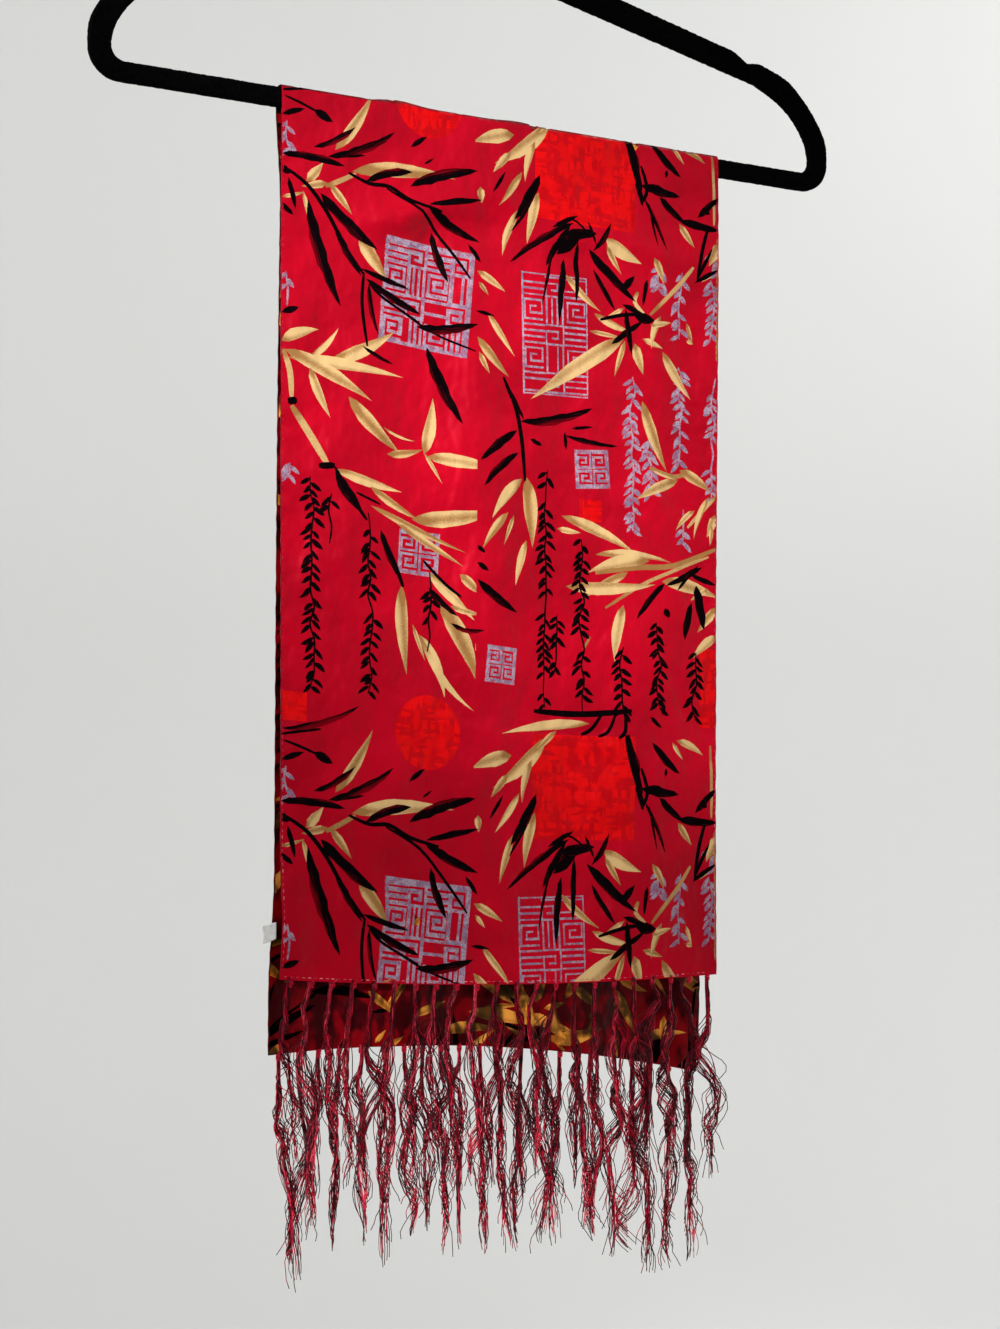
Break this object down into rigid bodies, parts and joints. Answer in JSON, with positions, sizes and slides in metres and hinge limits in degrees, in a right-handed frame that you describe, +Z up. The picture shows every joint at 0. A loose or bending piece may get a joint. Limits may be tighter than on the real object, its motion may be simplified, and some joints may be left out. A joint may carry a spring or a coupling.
{
  "type": "silk scarf on a clothes hanger",
  "caption": "Long printed satin scarf with knotted fringe at both ends, folded over the bar of a slim flocked clothes hanger with a wire hook.",
  "frame": {"origin": "the crown of the hook's inside, where it hangs on a rail", "axes": "+Z up, +X to the right seen from the front, the scarf's shorter fall faces -Y"},
  "size_m": [0.45, 0.03, 0.8342],
  "materials": {
    "satin": "printed satin, soft sheen",
    "fringe": "loose silky threads",
    "label": "plain woven tape",
    "flock": "black flocked nap",
    "hook_wire": "bright plated wire"
  },
  "bodies": {
    "root": {"front_fall": "satin", "back_fall": "satin", "front_fringe": "fringe", "back_fringe": "fringe", "care_label": "label", "hanger_frame": "flock", "hook": "hook_wire"}
  },
  "joints": []
}
